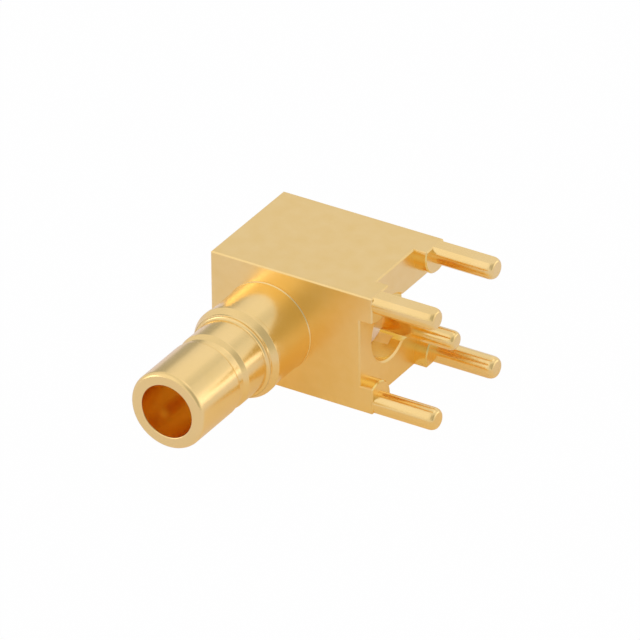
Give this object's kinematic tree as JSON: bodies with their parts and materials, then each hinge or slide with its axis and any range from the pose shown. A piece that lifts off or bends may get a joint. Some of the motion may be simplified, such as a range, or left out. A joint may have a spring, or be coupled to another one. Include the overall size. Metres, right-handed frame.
{
  "type": "smb connector",
  "caption": "Right-angle coaxial board jack: gold plated block with a push-on barrel, round solder legs and a tail pin, lying on its side.",
  "frame": {"origin": "centre of the four legs on the plane of the standoffs' ends, which seats on the board", "axes": "+X the way the legs leave the block, into the board; -Y the way the barrel points; +Z out of the upper side face, since the part lies on its lower one"},
  "size_m": [0.0113, 0.0146, 0.006],
  "materials": {
    "gold_plate": "gold plate over machined brass, satin on the milled faces and brighter on the turned ones",
    "ptfe": "machined white fluoropolymer, waxy and faintly translucent"
  },
  "bodies": {
    "root": {"housing_block": "gold_plate", "barrel": "gold_plate", "centre_contact": "gold_plate", "tail_pin": "gold_plate", "front_insulator": "ptfe", "tail_insulator": "ptfe"}
  },
  "joints": []
}
